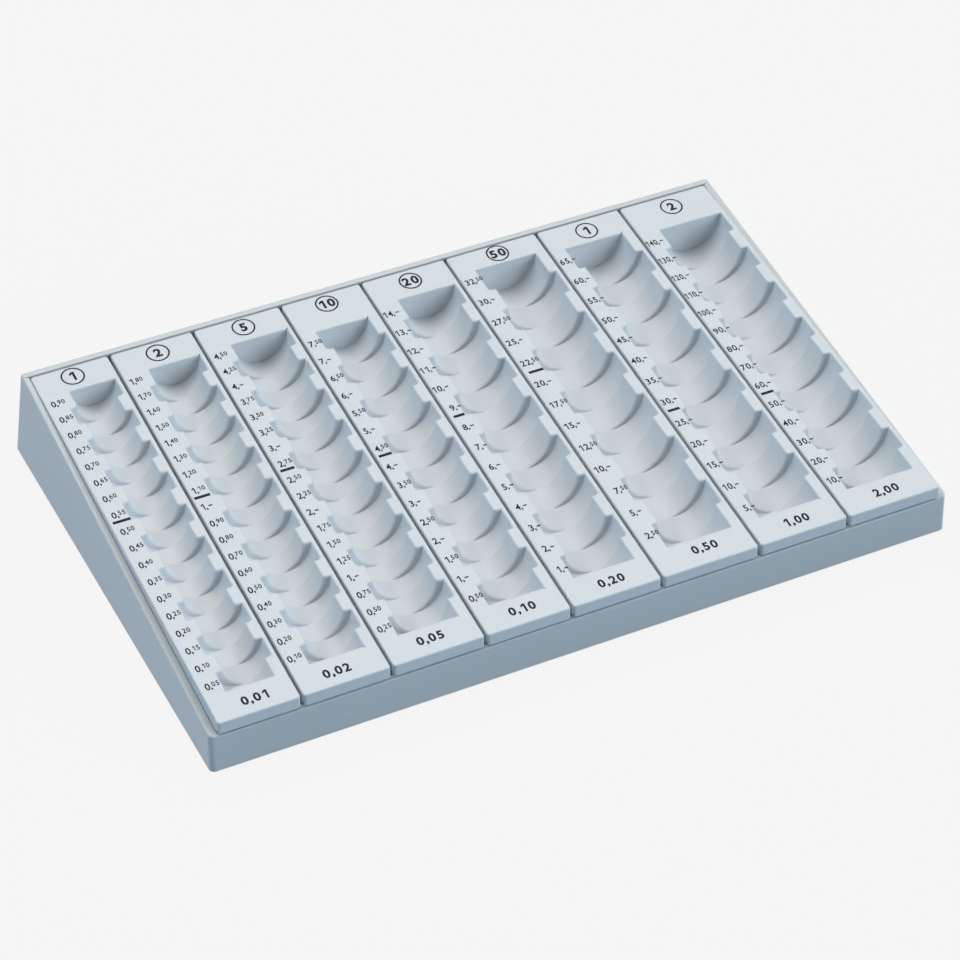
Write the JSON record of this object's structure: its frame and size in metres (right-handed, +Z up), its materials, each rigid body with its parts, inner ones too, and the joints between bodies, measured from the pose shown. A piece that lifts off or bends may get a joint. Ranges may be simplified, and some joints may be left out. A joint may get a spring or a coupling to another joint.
{
  "type": "coin counting tray",
  "caption": "Sloping desk tray with removable channel inserts whose stepped half-round pockets hold and count coins standing on edge.",
  "frame": {"origin": "on the table, under the middle of the tray's footprint", "axes": "+X to the user's right, +Y to the rear, where the tray is highest, +Z up"},
  "size_m": [0.2944, 0.2, 0.0457],
  "materials": {
    "tray_plastic": "fine-grained moulded plastic, blue-grey",
    "insert_plastic": "smooth satin moulded plastic, pale grey",
    "foot_rubber": "matt"
  },
  "bodies": {
    "tray": {"base_tray": "tray_plastic", "foot_front_left": "foot_rubber", "foot_front_right": "foot_rubber", "foot_rear_left": "foot_rubber", "foot_rear_right": "foot_rubber"},
    "1_cent_insert": {"insert_1_cent": "insert_plastic"},
    "2_cent_insert": {"insert_2_cent": "insert_plastic"},
    "5_cent_insert": {"insert_5_cent": "insert_plastic"},
    "10_cent_insert": {"insert_10_cent": "insert_plastic"},
    "20_cent_insert": {"insert_20_cent": "insert_plastic"},
    "50_cent_insert": {"insert_50_cent": "insert_plastic"},
    "1_euro_insert": {"insert_1_euro": "insert_plastic"},
    "2_euro_insert": {"insert_2_euro": "insert_plastic"}
  },
  "joints": [
    {"name": "lift_1_cent", "type": "slide", "parent": "tray", "child": "1_cent_insert", "axis": [0, -0.1219, 0.9925], "range_m": [0, 0.04]},
    {"name": "lift_2_cent", "type": "slide", "parent": "tray", "child": "2_cent_insert", "axis": [0, -0.1219, 0.9925], "range_m": [0, 0.04]},
    {"name": "lift_5_cent", "type": "slide", "parent": "tray", "child": "5_cent_insert", "axis": [0, -0.1219, 0.9925], "range_m": [0, 0.04]},
    {"name": "lift_10_cent", "type": "slide", "parent": "tray", "child": "10_cent_insert", "axis": [0, -0.1219, 0.9925], "range_m": [0, 0.04]},
    {"name": "lift_20_cent", "type": "slide", "parent": "tray", "child": "20_cent_insert", "axis": [0, -0.1219, 0.9925], "range_m": [0, 0.04]},
    {"name": "lift_50_cent", "type": "slide", "parent": "tray", "child": "50_cent_insert", "axis": [0, -0.1219, 0.9925], "range_m": [0, 0.04]},
    {"name": "lift_1_euro", "type": "slide", "parent": "tray", "child": "1_euro_insert", "axis": [0, -0.1219, 0.9925], "range_m": [0, 0.04]},
    {"name": "lift_2_euro", "type": "slide", "parent": "tray", "child": "2_euro_insert", "axis": [0, -0.1219, 0.9925], "range_m": [0, 0.04]}
  ]
}
